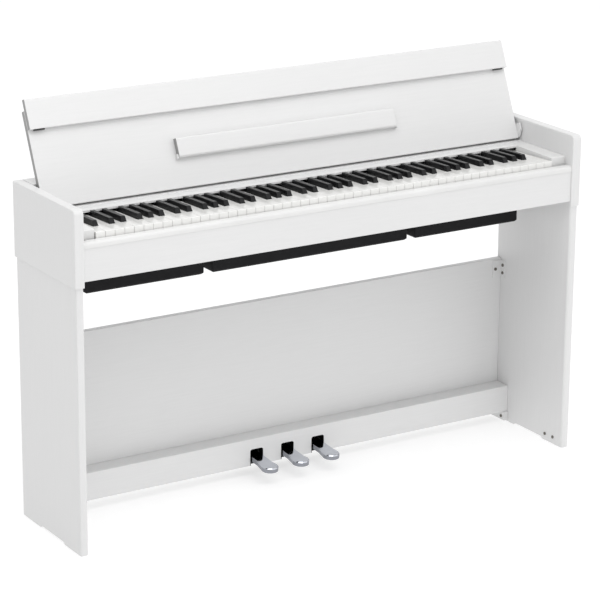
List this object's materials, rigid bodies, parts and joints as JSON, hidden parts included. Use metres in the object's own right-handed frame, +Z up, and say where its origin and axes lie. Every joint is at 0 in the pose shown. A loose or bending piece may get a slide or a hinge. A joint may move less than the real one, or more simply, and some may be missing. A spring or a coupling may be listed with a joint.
{
  "type": "digital piano on stand",
  "caption": "Slim upright digital piano on a panel stand: key cover with folding flap, music rest, full keyboard, pedals and black cases under the key bed.",
  "frame": {"origin": "on the floor, under the middle of the whole outline with the key cover open", "axes": "+X along the keyboard from low to high notes, -Y towards the player, +Z up"},
  "size_m": [1.353, 0.3065, 0.9717],
  "materials": {
    "white_lacquer": "satin white lacquer over particle board",
    "white_key": "moulded white key tops, soft gloss",
    "black_key": "matt black key caps with fine grain",
    "black_case": "textured black moulded case",
    "pedal_metal": "plated and polished",
    "steel": "bright zinc plate",
    "dark_felt": "charcoal felt",
    "grey_felt": "light grey felt",
    "red_felt": "dense red felt",
    "rubber": "soft black rubber",
    "circuit_board": "green solder mask",
    "white_plastic": "fine satin grain",
    "cone_paper": "pressed paper"
  },
  "bodies": {
    "cabinet": {"side_arm_left": "white_lacquer", "side_arm_right": "white_lacquer", "leg_panel_left": "white_lacquer", "leg_panel_right": "white_lacquer", "back_board": "white_lacquer", "rear_panel": "white_lacquer", "rear_top_board": "white_lacquer", "pedal_box_front": "white_lacquer", "pedal_box_top": "white_lacquer", "pedal_box_back": "white_lacquer", "foot_brackets": "white_lacquer", "corner_brackets": "steel", "cabinet_screws": "steel", "pedal_frame": "steel", "pedal_shaft": "steel", "pedal_springs": "steel", "pedal_stop_pads": "dark_felt", "key_bed_board": "white_lacquer", "key_slip_panel": "white_lacquer", "key_slip_cap": "white_lacquer", "key_block_left": "white_lacquer", "key_block_right": "white_lacquer", "key_rail": "white_lacquer", "cover_apron": "grey_felt", "key_frame": "steel", "key_shaft": "steel", "key_stop_felt": "red_felt", "speaker_box_left": "black_case", "speaker_box_right": "black_case", "electronics_box": "black_case", "speaker_drivers": "cone_paper", "main_board": "circuit_board", "jack_panel": "black_case"},
    "key_cover": {"lid_panel": "white_lacquer", "lid_hinge_brackets": "white_plastic", "flap_hinge_leaves": "steel", "music_rest_brackets": "white_plastic"},
    "flap": {"lid_flap": "white_lacquer", "flap_hinge_pins": "steel", "flap_bumpers": "rubber"},
    "music_rest": {"music_rest": "white_lacquer"},
    "soft_pedal": {"soft_pedal": "pedal_metal"},
    "sostenuto_pedal": {"sostenuto_pedal": "pedal_metal"},
    "damper_pedal": {"damper_pedal": "pedal_metal"},
    "power_button": {"power_button": "white_plastic"},
    "function_button": {"function_button": "white_plastic"},
    "volume_slider": {"volume_slider": "white_plastic"},
    "keys_c": {"keys_c": "white_key"},
    "keys_c_sharp": {"keys_c_sharp": "black_key"},
    "keys_d": {"keys_d": "white_key"},
    "keys_d_sharp": {"keys_d_sharp": "black_key"},
    "keys_e": {"keys_e": "white_key"},
    "keys_f": {"keys_f": "white_key"},
    "keys_f_sharp": {"keys_f_sharp": "black_key"},
    "keys_g": {"keys_g": "white_key"},
    "keys_g_sharp": {"keys_g_sharp": "black_key"},
    "keys_a": {"keys_a": "white_key"},
    "keys_a_sharp": {"keys_a_sharp": "black_key"},
    "keys_b": {"keys_b": "white_key"}
  },
  "joints": [
    {"name": "key_cover_hinge", "type": "hinge", "parent": "cabinet", "child": "key_cover", "pos_m": [0, 0.058, 0.7718], "axis": [1, 0, 0], "range_deg": [0, 113.5]},
    {"name": "flap_hinge", "type": "hinge", "parent": "key_cover", "child": "flap", "pos_m": [0, 0.13805, 0.9529], "axis": [-1, 0, 0], "range_deg": [0, 90]},
    {"name": "music_rest_hinge", "type": "hinge", "parent": "key_cover", "child": "music_rest", "pos_m": [0, 0.07609, 0.8129], "axis": [-1, 0, 0], "range_deg": [-90, 0]},
    {"name": "soft_pedal_press", "type": "hinge", "parent": "cabinet", "child": "soft_pedal", "pos_m": [0, 0.106, 0.0468], "axis": [1, 0, 0], "range_deg": [0, 7], "stiffness_Nm_per_rad": 14, "springref_deg": -3.44},
    {"name": "sostenuto_pedal_press", "type": "hinge", "parent": "cabinet", "child": "sostenuto_pedal", "pos_m": [0, 0.106, 0.0468], "axis": [1, 0, 0], "range_deg": [0, 7], "stiffness_Nm_per_rad": 14, "springref_deg": -3.44},
    {"name": "damper_pedal_press", "type": "hinge", "parent": "cabinet", "child": "damper_pedal", "pos_m": [0, 0.106, 0.0468], "axis": [1, 0, 0], "range_deg": [0, 7], "stiffness_Nm_per_rad": 14, "springref_deg": -3.44},
    {"name": "power_button_press", "type": "slide", "parent": "cabinet", "child": "power_button", "axis": [0, 0, -1], "range_m": [0, 0.0015], "stiffness_N_per_m": 400, "springref_m": -0.001},
    {"name": "function_button_press", "type": "slide", "parent": "cabinet", "child": "function_button", "axis": [0, 0, -1], "range_m": [0, 0.0015], "stiffness_N_per_m": 400, "springref_m": -0.001},
    {"name": "volume_slide", "type": "slide", "parent": "cabinet", "child": "volume_slider", "axis": [0, 1, 0], "range_m": [0, 0.028]},
    {"name": "keys_c_press", "type": "hinge", "parent": "cabinet", "child": "keys_c", "pos_m": [0, 0.0945, 0.7119], "axis": [1, 0, 0], "range_deg": [0, 2.6], "stiffness_Nm_per_rad": 60, "springref_deg": -2.86},
    {"name": "keys_c_sharp_press", "type": "hinge", "parent": "cabinet", "child": "keys_c_sharp", "pos_m": [0, 0.0945, 0.7119], "axis": [1, 0, 0], "range_deg": [0, 2.6], "stiffness_Nm_per_rad": 60, "springref_deg": -2.86},
    {"name": "keys_d_press", "type": "hinge", "parent": "cabinet", "child": "keys_d", "pos_m": [0, 0.0945, 0.7119], "axis": [1, 0, 0], "range_deg": [0, 2.6], "stiffness_Nm_per_rad": 60, "springref_deg": -2.86},
    {"name": "keys_d_sharp_press", "type": "hinge", "parent": "cabinet", "child": "keys_d_sharp", "pos_m": [0, 0.0945, 0.7119], "axis": [1, 0, 0], "range_deg": [0, 2.6], "stiffness_Nm_per_rad": 60, "springref_deg": -2.86},
    {"name": "keys_e_press", "type": "hinge", "parent": "cabinet", "child": "keys_e", "pos_m": [0, 0.0945, 0.7119], "axis": [1, 0, 0], "range_deg": [0, 2.6], "stiffness_Nm_per_rad": 60, "springref_deg": -2.86},
    {"name": "keys_f_press", "type": "hinge", "parent": "cabinet", "child": "keys_f", "pos_m": [0, 0.0945, 0.7119], "axis": [1, 0, 0], "range_deg": [0, 2.6], "stiffness_Nm_per_rad": 60, "springref_deg": -2.86},
    {"name": "keys_f_sharp_press", "type": "hinge", "parent": "cabinet", "child": "keys_f_sharp", "pos_m": [0, 0.0945, 0.7119], "axis": [1, 0, 0], "range_deg": [0, 2.6], "stiffness_Nm_per_rad": 60, "springref_deg": -2.86},
    {"name": "keys_g_press", "type": "hinge", "parent": "cabinet", "child": "keys_g", "pos_m": [0, 0.0945, 0.7119], "axis": [1, 0, 0], "range_deg": [0, 2.6], "stiffness_Nm_per_rad": 60, "springref_deg": -2.86},
    {"name": "keys_g_sharp_press", "type": "hinge", "parent": "cabinet", "child": "keys_g_sharp", "pos_m": [0, 0.0945, 0.7119], "axis": [1, 0, 0], "range_deg": [0, 2.6], "stiffness_Nm_per_rad": 60, "springref_deg": -2.86},
    {"name": "keys_a_press", "type": "hinge", "parent": "cabinet", "child": "keys_a", "pos_m": [0, 0.0945, 0.7119], "axis": [1, 0, 0], "range_deg": [0, 2.6], "stiffness_Nm_per_rad": 60, "springref_deg": -2.86},
    {"name": "keys_a_sharp_press", "type": "hinge", "parent": "cabinet", "child": "keys_a_sharp", "pos_m": [0, 0.0945, 0.7119], "axis": [1, 0, 0], "range_deg": [0, 2.6], "stiffness_Nm_per_rad": 60, "springref_deg": -2.86},
    {"name": "keys_b_press", "type": "hinge", "parent": "cabinet", "child": "keys_b", "pos_m": [0, 0.0945, 0.7119], "axis": [1, 0, 0], "range_deg": [0, 2.6], "stiffness_Nm_per_rad": 60, "springref_deg": -2.86}
  ]
}
